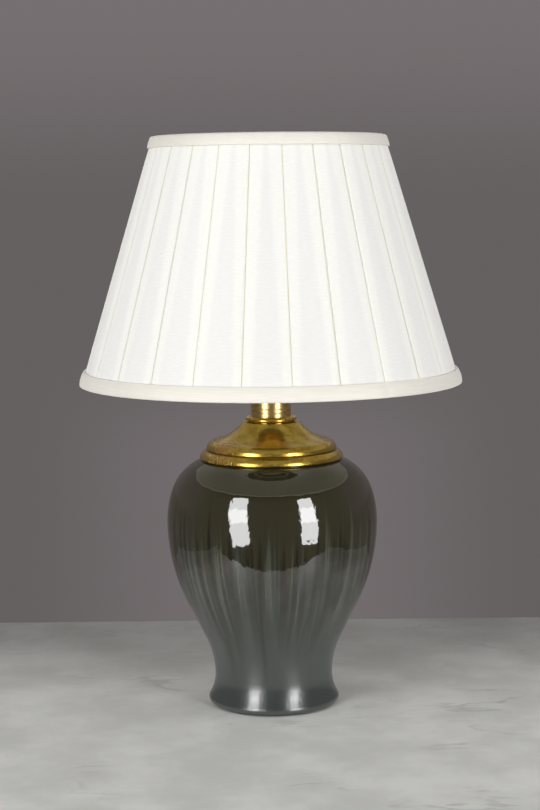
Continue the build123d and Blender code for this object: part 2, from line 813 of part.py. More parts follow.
with BuildPart() as bulb_bead:
    with BuildSketch(Plane.XZ):
        Polygon(
            (0, bead_bottom),
            (bulb_contact_radius, bead_bottom),
            (bead_radius, bulb_cap_bottom),
            (0, bulb_cap_bottom),
            align=None,
        )
    revolve(axis=Axis.Z)

with BuildPart() as bulb_cap:
    with BuildSketch(Plane.XZ):
        taper_top = bulb_cap_bottom + bulb_bead_height / 2
        with BuildLine():
            Polyline(
                (bead_radius, bulb_cap_bottom),
                (bulb_cap_radius, taper_top),
                (bulb_cap_radius, bulb_cap_top),
            )
            offset(amount=-bulb_cap_wall, side=Side.LEFT)
        make_face()
    revolve(axis=Axis.Z)

with BuildPart() as bulb_glass:
    with BuildSketch(Plane.XZ):
        with BuildLine():
            globe_top = bulb_base + bulb_length
            globe = JernArc((0, globe_top), (1, 0), bulb_radius, -bulb_globe_angle)
            neck_turn = bulb_globe_angle - 90
            neck_arc = ((globe @ 1).X - glass_neck_radius) / (1 - cos(radians(neck_turn)))
            neck = JernArc(globe @ 1, globe % 1, neck_arc, neck_turn)
            Polyline(neck @ 1, (glass_neck_radius, glass_bottom), (0, glass_bottom), (0, globe_top))
        make_face()
        mirror(about=Plane.YZ)
        offset(amount=-bulb_glass_wall, mode=Mode.SUBTRACT)
        neck_bore = glass_neck_radius - bulb_glass_wall
        ring_section(0, neck_bore, glass_bottom, glass_bottom + 2 * bulb_glass_wall, mode=Mode.SUBTRACT)
        ring_section(-bulb_radius, 0, glass_bottom, globe_top, mode=Mode.SUBTRACT)
    revolve(axis=Axis.Z)

with BuildPart() as bulb_stem:
    with BuildSketch(Plane.XZ):
        with BuildLine():
            stem_top = glass_bottom + stem_height
            foot_edge = (neck_bore - slip, glass_bottom)
            waist = (stem_radius, glass_bottom + stem_height / 3)
            Bezier(foot_edge, (stem_radius, glass_bottom), waist)
            Polyline(waist, (stem_radius, stem_top), (0, stem_top), (0, glass_bottom), foot_edge)
        make_face()
    revolve(axis=Axis.Z)

with BuildPart() as bulb_filament:
    with BuildLine():
        FilletPolyline(
            (-stem_radius / 2, 0, stem_top),
            (-stem_radius / 2, 0, stem_top + stem_radius),
            (-filament_half_width, 0, stem_top + filament_rise),
            (filament_half_width, 0, stem_top + filament_rise),
            (stem_radius / 2, 0, stem_top + stem_radius),
            (stem_radius / 2, 0, stem_top),
            radius=stem_radius / 2,
        )
    with BuildSketch(Plane.XY.offset(stem_top)):
        with Locations((-stem_radius / 2, 0)):
            Circle(filament_wire_radius)
    sweep()

# ---------------------------------------------------------------- export

nodes = {
    "jar_body": jar_body,
    "base_felt": base_felt,
    "cable_bush": cable_bush,
    "tie_rod": tie_rod,
    "rubber_washer": rubber_washer,
    "lower_washer": lower_washer,
    "lower_nut": lower_nut,
    "centring_plug": centring_plug,
    "cap_washer": cap_washer,
    "cap_nut": cap_nut,
    "vase_cap": vase_cap,
    "neck_collar": neck_collar,
    "holder_cap": holder_cap,
    "holder_skirt": holder_skirt,
    "holder_insulator": holder_insulator,
    "terminal_screws": terminal_screws,
    "screw_shell": screw_shell,
    "contact_tongue": contact_tongue,
    "push_bar": push_bar,
    "push_bar_buttons": push_bar_buttons,
    "lower_shade_ring": lower_shade_ring,
    "upper_shade_ring": upper_shade_ring,
    "carrier_collar": carrier_collar,
    "carrier_arm_left": carrier_arm_left,
    "carrier_arm_right": carrier_arm_right,
    "carrier_ring": carrier_ring,
    "seat_ring": seat_ring,
    "pivot_pins": pivot_pins,
    "gimbal_ring": gimbal_ring,
    "drop_arms": drop_arms,
    "frame_top_hoop": frame_top_hoop,
    "frame_bottom_hoop": frame_bottom_hoop,
    "frame_struts": frame_struts,
    "shade_lining": shade_lining,
    "shade_pleats": shade_pleats,
    "top_trim": top_trim,
    "bottom_trim": bottom_trim,
    "bulb_contact": bulb_contact,
    "bulb_bead": bulb_bead,
    "bulb_cap": bulb_cap,
    "bulb_glass": bulb_glass,
    "bulb_stem": bulb_stem,
    "bulb_filament": bulb_filament,
}
for name, node in nodes.items():
    node.part.label = name
    export_step(node.part, f"parts/{name}.step")

print(f"shade {2 * shade_bottom_radius:.1f} mm wide, lamp {shade_top:.1f} mm tall, {len(nodes)} pieces")
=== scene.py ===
# %% [markdown]
# # A ginger jar table lamp
# A glazed jar stands on a felt ring, under a gilded cap, a short brass neck and a box-pleated
# silk shade. The rigid parts come packed from CAD and are only dressed here. Everything soft,
# the pleats, the lining, the bindings and the felt, is made below as cloth.

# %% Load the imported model
from math import atan, cos, pi, radians, sin

import bpy
import numpy as np
from mathutils import Matrix, Vector


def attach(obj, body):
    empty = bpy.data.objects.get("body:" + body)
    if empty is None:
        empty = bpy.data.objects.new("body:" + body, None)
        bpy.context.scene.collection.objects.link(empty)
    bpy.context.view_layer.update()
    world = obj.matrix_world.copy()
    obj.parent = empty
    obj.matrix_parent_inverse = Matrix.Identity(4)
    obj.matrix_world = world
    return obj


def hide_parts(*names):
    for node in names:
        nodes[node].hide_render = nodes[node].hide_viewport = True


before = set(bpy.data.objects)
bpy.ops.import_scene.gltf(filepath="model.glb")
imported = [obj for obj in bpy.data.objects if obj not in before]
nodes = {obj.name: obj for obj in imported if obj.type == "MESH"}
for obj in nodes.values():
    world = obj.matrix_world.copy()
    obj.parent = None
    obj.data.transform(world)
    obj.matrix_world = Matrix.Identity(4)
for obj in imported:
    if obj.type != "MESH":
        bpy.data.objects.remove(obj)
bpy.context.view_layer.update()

# %% [markdown]
# ## The camera
# The photograph was taken with a short telephoto lens, from a little below the shade's upper rim
# and tilted down. A long lens far away would flatten the curves of the shade's two rims, and a
# short one would bend them more, so distance, height and lens are set together.

# %% Camera at the photograph's place
picture_height = 810
lens_pixels = 1850.0
camera_distance = 1.947
camera_height = 0.5412
camera_pitch = 6.486            # degrees down
camera_roll = -0.6              # degrees
axis_offset = 1.0               # pixels from the middle of the picture to the lamp's axis

camera_data = bpy.data.cameras.new("camera")
camera_data.sensor_fit = "VERTICAL"
camera_data.sensor_height = 36.0
camera_data.lens = camera_data.sensor_height * lens_pixels / picture_height
camera_data.clip_start = 0.01
camera = bpy.data.objects.new("camera", camera_data)
bpy.context.scene.collection.objects.link(camera)
turn = (
    Matrix.Rotation(atan(axis_offset / lens_pixels), 4, "Z")
    @ Matrix.Rotation(radians(90 - camera_pitch), 4, "X")
    @ Matrix.Rotation(radians(camera_roll), 4, "Z")
)
camera.matrix_world = Matrix.Translation((0, -camera_distance, camera_height)) @ turn
bpy.context.scene.camera = camera
print(f"lens {camera_data.lens:.1f} mm at {camera_distance} m")

# %% [markdown]
# ## Materials as trees of nodes
# Every finish below is a tree of nodes, and most trees are made of the same few steps: a noise,
# a ramp that turns it into a mask, a blend of two colours by that mask. Each step gets a small
# function here, so that a material further down reads as a list of what is on the surface.

# %% Helpers for node trees
def new_material(name, colour=(0.8, 0.8, 0.8), roughness=0.5, metallic=0.0, **sockets):
    """A material with one Principled shader; returns it, its node tree and the shader."""
    material = bpy.data.materials.new(name)
    material.use_nodes = True
    tree = material.node_tree
    shader = tree.nodes["Principled BSDF"]
    shader.inputs["Base Color"].default_value = (*colour, 1)
    shader.inputs["Roughness"].default_value = roughness
    shader.inputs["Metallic"].default_value = metallic
    for socket, value in sockets.items():
        shader.inputs[socket.replace("_", " ")].default_value = value
    print("material", name)
    return material, tree, shader


def fill(tree, socket, value):
    """Links a socket to another one, or gives it a plain value; a colour gets its fourth number."""
    if isinstance(value, bpy.types.NodeSocket):
        tree.links.new(value, socket)
    elif socket.type == "RGBA":
        socket.default_value = (*value, 1)
    else:
        socket.default_value = value


def node(tree, kind, **settings):
    """A node of that kind; settings that name an input fill it, the rest are its options."""
    made = tree.nodes.new("ShaderNode" + kind)
    for key, value in settings.items():
        if hasattr(made, key):
            setattr(made, key, value)
        else:
            fill(tree, made.inputs[key.replace("_", " ")], value)
    return made


def maths(tree, operation, *values):
    """A Math node on one to three values; returns its result."""
    made = tree.nodes.new("ShaderNodeMath")
    made.operation = operation
    for socket, value in zip(made.inputs, values):
        fill(tree, socket, value)
    return made.outputs[0]


def blend(tree, share, first, second):
    """Mixes two colours by a share from 0 to 1."""
    made = tree.nodes.new("ShaderNodeMix")
    made.data_type = "RGBA"
    for number, value in ((0, share), (6, first), (7, second)):
        fill(tree, made.inputs[number], value)
    return made.outputs[2]


def ramp(tree, value, low, high, start=0.0, end=1.0):
    """Maps a value from low..high to start..end, eased at both ends."""
    made = node(tree, "MapRange", interpolation_type="SMOOTHSTEP")
    for socket, number in zip(made.inputs, (value, low, high, start, end)):
        fill(tree, socket, number)
    return made.outputs[0]


# %% Helpers for noise and bump
def noise(tree, place, scale, detail=2.0, **settings):
    """A noise of about 0 to 1 over a place, with scale cells to its unit."""
    made = node(tree, "TexNoise", Vector=place, Scale=scale, Detail=detail, **settings)
    return made.outputs[0]


def give_or_take(tree, share, weight, base):
    """The base, plus the weight times what the share is above a half: it moves both ways."""
    return maths(tree, "MULTIPLY_ADD", maths(tree, "SUBTRACT", share, 0.5), weight, base)


def object_place(tree):
    """The place on the piece, in metres: each piece's own coordinates are the lamp's."""
    return node(tree, "TexCoord").outputs["Object"]


def emboss(tree, shader, relief, distance, strength=1.0):
    """Lays a relief on a shader as bump; a relief of 1 is as high as the distance in metres."""
    bump = node(tree, "Bump", Height=relief, Distance=distance, Strength=strength)
    fill(tree, shader.inputs["Normal"], bump.outputs[0])


# %% Helpers for node groups
def new_group(name, inputs, outputs):
    """An empty node group; returns it, the sockets it is given and the sockets it has to fill.

    inputs and outputs are names with the kind of socket: Float, Vector or Color.
    """
    group = bpy.data.node_groups.new(name, "ShaderNodeTree")
    for side, sockets in (("INPUT", inputs), ("OUTPUT", outputs)):
        for label, kind in sockets.items():
            group.interface.new_socket(label, in_out=side, socket_type="NodeSocket" + kind)
    given = group.nodes.new("NodeGroupInput").outputs
    result = group.nodes.new("NodeGroupOutput").inputs
    print("group", name)
    return group, given, result


def use_group(tree, group, **values):
    """Places a group in a material's tree and fills its inputs by name; returns its outputs."""
    placed = tree.nodes.new("ShaderNodeGroup")
    placed.node_tree = group
    for label, value in values.items():
        fill(tree, placed.inputs[label.replace("_", " ")], value)
    return placed.outputs


# %% [markdown]
# ## The table
# The lamp stands on a pale stone table with soft grey clouds and a few thin veins. The glaze
# mirrors its near edge as the line where the jar's dark upper half turns light, so the table
# ends just in front of the picture. Its colour is painted darker to the back and the sides:
# painted shade, for the light that falls off there.

# %% The table
table_near, table_back = -0.372, 0.376
table_half_width = 0.62
table_thickness = 0.03

table_data = bpy.data.meshes.new("table")
table_corners = [
    (x, y, z)
    for z in (-table_thickness, 0)
    for x, y in (
        (-table_half_width, table_near),
        (table_half_width, table_near),
        (table_half_width, table_back),
        (-table_half_width, table_back),
    )
]
table_faces = [(3, 2, 1, 0), (4, 5, 6, 7), (0, 1, 5, 4), (1, 2, 6, 5), (2, 3, 7, 6), (3, 0, 4, 7)]
table_data.from_pydata(table_corners, [], table_faces)
table = bpy.data.objects.new("table", table_data)
bpy.context.scene.collection.objects.link(table)
print(f"table {2 * table_half_width:.2f} by {table_back - table_near:.2f} m")

# %% Stone
# Painted shade: the back greys are darker than the front greys, for the light that falls off
# towards the back and the sides.
front_greys = (0.595, 0.60, 0.57), (0.735, 0.74, 0.715)
shaded_back_greys = (0.29, 0.29, 0.275), (0.385, 0.385, 0.37)
vein_grey, vein_share = (0.16, 0.165, 0.17), 0.3

stone, tree, shader = new_material("pale_stone", (0.6, 0.6, 0.57), roughness=0.38)
place = object_place(tree)
cloudy = ramp(tree, noise(tree, place, 9.0, 6.0, Roughness=0.6), 0.36, 0.66)
spot = node(tree, "SeparateXYZ", Vector=place)
# The share of painted shade grows towards the back and towards both sides of the table.
beside = ramp(tree, maths(tree, "ABSOLUTE", spot.outputs["X"]), 0.30, 0.52)
painted_shade_share = maths(tree, "MAXIMUM", ramp(tree, spot.outputs["Y"], -0.05, 0.35), beside)
plain = blend(tree, painted_shade_share, blend(tree, cloudy, *front_greys), blend(tree, cloudy, *shaded_back_greys))
drawn_out = node(tree, "Mapping", Vector=place, Rotation=(0.0, 0.0, 0.12), Scale=(5.0, 13.0, 1.0))
winding = noise(tree, drawn_out.outputs[0], 1.0, 5.0, Distortion=0.5)
line = maths(tree, "ABSOLUTE", maths(tree, "SUBTRACT", winding, 0.5))
in_patches = ramp(tree, noise(tree, place, 7.0), 0.50, 0.66)
vein = maths(tree, "MULTIPLY", ramp(tree, line, 0.022, 0.0), in_patches)
veined = blend(tree, maths(tree, "MULTIPLY", vein, vein_share), plain, vein_grey)
fill(tree, shader.inputs["Base Color"], veined)
table_data.materials.append(stone)

# %% [markdown]
# ## The room and the light
# Behind the table is a plain grey wall, and the room is dark, with a tall soft box on either side
# of the camera. The glaze is a mirror for all of that: the soft boxes are its two bright bars.
# The wall and the room are colours of the world, picked by direction, and only rays that don't
# come from the camera see the dark ceiling and the dark side of the room.

# %% Wall and room
# Painted light on the wall: it is lighter towards the top, and lighter again in a pool behind the
# jar.
wall_low, wall_high = (0.130, 0.119, 0.119), (0.180, 0.160, 0.166)
room_colour, ceiling_colour = (0.105, 0.100, 0.092), (0.015, 0.015, 0.014)
halo_share = 0.75                # the wall is lighter again behind the jar

world = bpy.data.worlds.new("room")
bpy.context.scene.world = world
world.use_nodes = True
tree = world.node_tree
direction = node(tree, "SeparateXYZ", Vector=node(tree, "TexCoord").outputs["Generated"])
sideways, ahead, up = (direction.outputs[axis] for axis in "XYZ")
wall = blend(tree, ramp(tree, up, -0.01, 0.10), wall_low, wall_high)
behind_jar = ramp(tree, maths(tree, "ABSOLUTE", sideways), 0.14, 0.03)
painted_halo = maths(tree, "MULTIPLY", behind_jar, ramp(tree, up, -0.08, -0.14))
painted_halo = maths(tree, "MULTIPLY", painted_halo, ramp(tree, ahead, 0.8, 0.95, 0.0, halo_share))
wall = blend(tree, painted_halo, wall, wall_high)
room = blend(tree, ramp(tree, ahead, -0.25, 0.35), room_colour, wall)
room = blend(tree, ramp(tree, up, 0.5, 0.8), room, ceiling_colour)
seen_by_camera = node(tree, "LightPath").outputs["Is Camera Ray"]
fill(tree, tree.nodes["Background"].inputs["Color"], blend(tree, seen_by_camera, room, wall))


# %% Lamps of the room
def area_lamp(name, width, height, radiance, placing, seen):
    """A rectangular lamp; seen says which rays meet it: all, gloss only, or light only."""
    lamp_data = bpy.data.lights.new(name, "AREA")
    lamp_data.shape = "RECTANGLE"
    lamp_data.size, lamp_data.size_y = width, height
    lamp_data.energy = radiance * pi * width * height
    lamp = bpy.data.objects.new(name, lamp_data)
    bpy.context.scene.collection.objects.link(lamp)
    lamp.matrix_world = placing
    lamp.visible_glossy = seen != "light"
    lamp.visible_diffuse = seen != "gloss"
    return lamp


def soft_box(name, azimuth, distance, bottom, top, width, radiance,
             aim=None, slant=0.0, seen="all"):
    """An upright area lamp that faces the lamp's axis, or a height aim on it.

    Azimuth in degrees from the camera's side, anticlockwise from above; slant, in degrees,
    turns the box in its own plane.
    """
    angle = radians(azimuth)
    spot = Vector((distance * sin(angle), -distance * cos(angle), (bottom + top) / 2))
    target = Vector((0, 0, spot.z if aim is None else aim))
    facing = (target - spot).to_track_quat("-Z", "Y").to_matrix().to_4x4()
    placing = Matrix.Translation(spot) @ facing @ Matrix.Rotation(radians(slant), 4, "Z")
    return area_lamp(name, width, top - bottom, radiance, placing, seen)


# %% The two soft boxes, with their brighter middles
# Each call says: name, azimuth, distance from the lamp's axis, height of its bottom and its top.
left_slant = 7                   # degrees; the left box leans
soft_box("left_box", -37.0, 1.7, -0.27, 1.60, width=0.61, radiance=6.0, slant=left_slant)
soft_box("right_box", 39.3, 1.7, -0.22, 1.45, width=0.54, radiance=6.2)
soft_box("left_box_middle", -35.6, 1.68, 0.36, 0.80, width=0.60, radiance=2.2,
         slant=left_slant, seen="gloss")
soft_box("right_box_middle", 38.1, 1.68, 0.36, 0.80, width=0.55, radiance=2.2, seen="gloss")

# %% Fill light, which no surface mirrors
for side in (-1, 1):
    soft_box("side_fill", side * 92, 1.9, 0.2, 1.5, width=0.9, radiance=3.2, seen="light")
    soft_box("back_fill", side * 145, 1.9, 0.8, 2.0, width=0.9, radiance=1.7, aim=0.5, seen="light")
soft_box("top_fill", 0, 0.9, 1.6, 2.2, width=1.2, radiance=2.0, aim=0.1, seen="light")
face_up = Matrix.Translation((0, 0, 0.002)) @ Matrix.Rotation(pi, 4, "X")
bounce = area_lamp("table_bounce", 0.8, 0.7, 0.7, face_up, seen="light")
bounce.visible_camera = False
print(len(bpy.data.lights), "area lamps")

# %% [markdown]
# ## Surfaces from numbers
# A turned or wrapped piece is a surface of two parameters. It is worked out as one numpy array
# of points, rows by columns, and handed to the mesh in one call, so that a change of a size
# never means moving vertices by hand.

# %% A mesh from a grid of points
def grid_object(name, points, body, material, around=False, uv=None, attributes=()):
    """Quads over points[row, column]; with around, the last column joins the first.

    A quad's corners go row by row, so columns that run anticlockwise and rows that rise give a
    surface that faces outwards. uv and attributes are given per point, as arrays.
    """
    rows, columns = points.shape[:2]
    index = np.arange(rows * columns).reshape(rows, columns)
    if around:
        index = np.concatenate([index, index[:, :1]], axis=1)
    quads = np.stack([index[:-1, :-1], index[:-1, 1:], index[1:, 1:], index[1:, :-1]], axis=-1)
    quads = quads.reshape(-1, 4)
    mesh = bpy.data.meshes.new(name)
    mesh.vertices.add(rows * columns)
    mesh.vertices.foreach_set("co", points.astype(np.float32).ravel())
    mesh.loops.add(quads.size)
    mesh.loops.foreach_set("vertex_index", quads.ravel().astype(np.int32))
    mesh.polygons.add(len(quads))
    mesh.polygons.foreach_set("loop_start", np.arange(0, quads.size, 4, dtype=np.int32))
    mesh.polygons.foreach_set("use_smooth", np.ones(len(quads), dtype=bool))
    mesh.update(calc_edges=True)
    if uv is not None:
        layer = mesh.uv_layers.new(name="cloth")
        layer.data.foreach_set("uv", uv.reshape(-1, 2)[quads.ravel()].astype(np.float32).ravel())
    for label, values in attributes:
        attribute = mesh.attributes.new(label, "FLOAT", "POINT")
        attribute.data.foreach_set("value", values.astype(np.float32).ravel())
    mesh.materials.append(material)
    made = bpy.data.objects.new(name, mesh)
    bpy.context.scene.collection.objects.link(made)
    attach(made, body)
    print(f"{name}: {len(quads)} quads")
    return made


# %% Pairs, the area of a surface, and a ripple on it
def pairs(first, second):
    """Pairs of numbers from two arrays; a row, a column or one number is spread to fit."""
    return np.stack(np.broadcast_arrays(first, second), axis=-1)


def wobble(seed, azimuth, waves, height=None):
    """A smooth closed ripple round the lamp: a few sine waves of whole periods, about -1 to 1.

    Each wave has a random period count up to waves, a random phase, and, where a height from 0
    to 1 is given, a phase that drifts with it.
    """
    random = np.random.default_rng(seed)
    total = np.zeros(np.broadcast(azimuth, 0 if height is None else height).shape)
    for count in random.integers(1, waves + 1, 6):
        drift = 0 if height is None else random.uniform(-2.5, 2.5) * height
        size = random.uniform(0.5, 1)
        phase = random.uniform(0, 2 * pi)
        total = total + size * np.sin(count * azimuth + phase + drift)
    return total / 3


# %% [markdown]
# ## The shade
# The silk is one straight strip, 2.15 m long, laid in 25 box pleats that meet edge to edge.
# Under each panel the cloth folds in from both edges, so it is three layers deep beside a fold
# and one in the middle. As the strip is straight and the shade a cone, the folds reach further
# in at the top. That is what makes the cream bands along the folds and the cooler middle bands,
# so the folds are really modelled, and not painted on a plain cone.

# %% Sizes of the shade, as in the CAD model
top_radius, bottom_radius = 0.1212, 0.1995
shade_top, shade_bottom = 0.6025, 0.3440
slope = (bottom_radius - top_radius) / (shade_top - shade_bottom)
pleat_count = 25
pleat_phase = radians(6.0)
strip_length, strip_width = 2.15, 0.2665


def crest(height):
    """Radius on the crest of the pleats: the top's, plus the slope for each metre below it."""
    return top_radius + (shade_top - height) * slope


def round_the_lamp(radius, azimuth, height):
    """Points at radius, azimuth and height; azimuth 0 is the front, and it grows to the right."""
    radius, azimuth, height = np.broadcast_arrays(radius, azimuth, height)
    return np.stack([radius * np.sin(azimuth), -radius * np.cos(azimuth), height], axis=-1)


# %% The folded path of one pleat
half_gap = 0.00026              # from a panel's edge to the middle of the gap beside it
roll_radius = 0.00024           # of the cloth where it turns over an edge
layer_step = 0.00027            # from one layer of cloth to the next
front_columns = 15              # points across a panel
run_columns, arc_columns = 4, 3  # points along a hidden layer, and round a turn


def pleat_path(pitch, fold):
    """One pleat, seen from above, as (along, depth, is_front) arrays; lengths in metres.

    It starts in the gap on the left at the deepest layer, runs in under the panel by fold,
    turns forward, comes back to the left edge, rolls over it, crosses the front, and mirrors
    all that on the right. The turns are half ellipses, roll_radius wide and a layer deep. The
    last point is the next pleat's first, so it is left out.
    """
    half = pitch / 2
    inner = half - fold
    edge = half - half_gap - roll_radius
    arc = np.linspace(0, pi, arc_columns + 2)[1:-1]
    run = np.linspace(0, 1, run_columns)
    left_along = np.concatenate([
        -half + (half - inner) * run,
        -inner + roll_radius * np.sin(arc),
        -inner - (edge - inner) * run,
        -edge - roll_radius * np.sin(arc),
    ])
    left_depth = layer_step * np.concatenate([
        np.full(run_columns, 2.0),
        1.5 + 0.5 * np.cos(arc),
        np.full(run_columns, 1.0),
        0.5 + 0.5 * np.cos(arc),
    ])
    front = np.linspace(-1, 1, front_columns)
    hidden = np.zeros(left_along.size)
    along = np.concatenate([left_along, edge * front, -left_along[::-1]])
    depth = np.concatenate([left_depth, np.zeros(front_columns), left_depth[::-1]])
    is_front = np.concatenate([hidden, np.ones(front_columns), hidden])
    return along[:-1], depth[:-1], is_front[:-1]


# %% The pleats side by side, row by row
cover_rows = 44
bottom_tuck, top_tuck = 0.0024, 0.0016   # the cover ends this far inside its bindings
most_fold = 0.47                         # of the pitch; at 0.5 two folds meet behind a panel

share = np.linspace(0, 1, cover_rows)[:, None]
cover_bottom, cover_top = shade_bottom + bottom_tuck, shade_top - top_tuck
heights = cover_bottom + (cover_top - cover_bottom) * share
pitch_of = 2 * pi * crest(heights[:, 0]) / pleat_count
fold_of = np.minimum((strip_length / pleat_count - pitch_of) / 4, most_fold * pitch_of)
paths = [pleat_path(pitch, fold) for pitch, fold in zip(pitch_of, fold_of)]
along = np.stack([path[0] for path in paths])[:, None, :]
depth = np.stack([path[1] for path in paths])[:, None, :]
on_front = paths[0][2][None, None, :]

# %% The unevenness of a hand-made cover
# Arrays from here on are row by pleat by point of the path. Each fold strays a little to one
# side, and not by the same amount at the top and at the bottom.
fold_stray = 0.0006
crown_height, crown_lean = 0.0009, 0.0003   # how far a panel swells in its middle, and to one side
slack_height = 0.00022                      # of the ripples in the cloth
held_share = 0.08                           # of the height, next to a binding that holds the cloth

share_3, pitch_3 = share[:, :, None], pitch_of[:, None, None]
number = np.arange(pleat_count)[None, :, None]
random = np.random.default_rng(7)
fold_shift = random.uniform(-fold_stray, fold_stray, (1, pleat_count + 1, 2))
fold_shift[0, -1] = fold_shift[0, 0]
shift = fold_shift[..., :1] * share_3 + fold_shift[..., 1:] * (1 - share_3)
across = along / pitch_3 + 0.5
shifted = along + shift[:, :-1] * (1 - across) + shift[:, 1:] * across
middle_of = pleat_phase + 2 * pi * (number + 0.5) / pleat_count
azimuth = middle_of + shifted / crest(heights)[:, :, None]

puff = random.uniform(0.6, 1.15, (1, pleat_count, 1))
lean = random.uniform(-0.35, 0.35, (1, pleat_count, 1))
edge_share = np.clip(np.abs(along) / (pitch_3 / 2), 0, 1)
crown = crown_height * puff * (1 - edge_share**2.2) + crown_lean * lean * along / (pitch_3 / 2)
held = np.clip(np.minimum(share_3, 1 - share_3) / held_share, 0, 1)
slack = slack_height * wobble(11, azimuth, 60, share_3) * held

# %% The surface of the cover
cover_inset = 0.0012            # from the crest that the CAD model has to the cloth's front
layers_fade = 0.0035            # over which a second layer behind the cloth starts to show

swell = on_front * (crown * (0.35 + 0.65 * held) + slack)
radius = crest(heights)[:, :, None] - cover_inset - depth + swell
cover_points = round_the_lamp(radius, azimuth, heights[:, :, None]).reshape(cover_rows, -1, 3)


def per_point(values):
    """Values by row, pleat and point, spread to one per point of the cover's grid."""
    return np.broadcast_to(values, azimuth.shape).reshape(cover_rows, -1)


behind = (pitch_3 / 2 - fold_of[:, None, None] - np.abs(along)) / layers_fade
layered = per_point(1 - np.clip(behind + 0.5, 0, 1))
in_gap = per_point(1 - on_front)
mean_along = (number + across) / pleat_count * strip_length
cover_uv = pairs(per_point(mean_along), per_point(heights[:, :, None]))

# %% [markdown]
# ### Silk
# Fine silk shows no grain from two metres, only a faint slub along the weft, a soft sheen at
# grazing angles and a colour that warms where more layers lie behind it. The warmth comes from
# an attribute on the cloth, the slub from stretched noise on the cloth's own UV map, in metres.

# %% A group for woven cloth
weave, given, result = new_group(
    "woven cloth",
    {
        "UV": "Vector", "Layers": "Float", "Gap": "Float", "Thin": "Color", "Thick": "Color",
        "Deep": "Color", "Slub": "Float", "Threads": "Float",
    },
    {"Colour": "Color", "Height": "Float"},
)
stretched = node(weave, "Mapping", Vector=given["UV"], Scale=(60.0, 900.0, 1.0))
slubs = noise(weave, stretched.outputs[0], 1.0, 3.0)
colour = blend(weave, given["Layers"], given["Thin"], given["Thick"])
# In the gaps of the pleats the colour is painted light and shade: the colour of the bottom of a
# fold.
colour = blend(weave, given["Gap"], colour, given["Deep"])
darker = maths(weave, "MULTIPLY", given["Slub"], ramp(weave, slubs, 0.75, 0.35))
fill(weave, result["Colour"], blend(weave, darker, colour, (0.0, 0.0, 0.0)))
warp, weft = (
    node(weave, "TexWave", Vector=given["UV"], bands_direction=axis, Scale=given["Threads"])
    for axis in "XY"
)
threads = maths(weave, "ADD", warp.outputs["Fac"], weft.outputs["Fac"])
fill(weave, result["Height"], maths(weave, "MULTIPLY_ADD", threads, 0.15, slubs))


# %% Silk materials
def cloth_material(name, thin, thick, deep, roughness=0.62, satin=0.0, slub=0.05, threads=1400.0):
    """Woven cloth: one colour for a single layer, one for several, and one painted in the bottom of
    a fold for its light and shade.

    satin is the share of floating threads that mirror the light instead of scattering it, so
    that the cloth is bright towards the soft boxes and darker where it turns away. threads is
    how many waves of the weave go to a metre.
    """
    material, tree, shader = new_material(
        name, thin, roughness, satin,
        Sheen_Weight=0.25, Sheen_Roughness=0.35, Specular_IOR_Level=0.28,
    )
    cloth = use_group(
        tree, weave, UV=node(tree, "UVMap", uv_map="cloth").outputs["UV"],
        Layers=node(tree, "Attribute", attribute_name="layers").outputs["Fac"],
        Gap=node(tree, "Attribute", attribute_name="gap").outputs["Fac"],
        Thin=thin, Thick=thick, Deep=deep, Slub=slub, Threads=threads,
    )
    fill(tree, shader.inputs["Base Color"], cloth["Colour"])
    emboss(tree, shader, cloth["Height"], distance=0.00006, strength=0.5)
    return material


# The pleated silk's fold colour is painted light: a warm yellow for the light bounced between the
# walls of each fold. The fold colours of the binding and the lining are painted shade.
silk = cloth_material(
    "pleated_silk", thin=(0.82, 0.812, 0.79), thick=(0.87, 0.86, 0.82), deep=(0.92, 0.89, 0.68)
)
binding_silk = cloth_material(
    "binding_silk", thin=(0.87, 0.845, 0.78), thick=(0.84, 0.81, 0.74), deep=(0.72, 0.68, 0.58),
    roughness=0.8, satin=0.42,
)
lining_silk = cloth_material(
    "lining_silk", thin=(0.86, 0.84, 0.785), thick=(0.84, 0.815, 0.75), deep=(0.7, 0.66, 0.56)
)

# %% The pleated cover
cover = grid_object(
    "pleated_cover", cover_points, "shade", silk, around=True, uv=cover_uv,
    attributes=(("layers", layered), ("gap", in_gap)),
)
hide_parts("shade_pleats")

# %% [markdown]
# ### Lining and bindings
# The lining is stretched inside the wires. The bindings are strips cut on the bias, which is
# why they go round a curve without puckering: each wraps the rim from the lining side to the
# front, with its raw edge turned under.

# %% The lining
lining_bottom, lining_top = 0.3468, 0.5935
lining_inset = 0.00745          # from the crest of the pleats to the lining
lining_mean_radius = 0.16       # turns an angle into a length for the cloth's map
tuck_height = 0.0004            # of the small puckers, strongest at the wires
lining_rows, lining_columns = 24, 192

share = np.linspace(0, 1, lining_rows)[:, None]
turn_round = np.linspace(0, 2 * pi, lining_columns, endpoint=False)[None, :]
lining_heights = lining_bottom + (lining_top - lining_bottom) * share
near_wires = 1 - np.minimum(share, 1 - share) * 1.6
tuck = tuck_height * wobble(5, turn_round, 48, share) * near_wires
lining_radius = crest(lining_heights) - lining_inset + tuck
lining_points = round_the_lamp(lining_radius, turn_round, lining_heights)
zeros = np.zeros(lining_points.shape[:2])
lining_uv = pairs(turn_round * lining_mean_radius, lining_heights)
lining = grid_object(
    "lining_cloth", lining_points, "shade", lining_silk, around=True,
    uv=lining_uv, attributes=(("layers", zeros), ("gap", zeros)),
)
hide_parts("shade_lining")

# %% The section of a binding
rim_round = 0.0012              # height of the turn round the rim
fold_round = 0.0006             # radius of the turned edge on the front


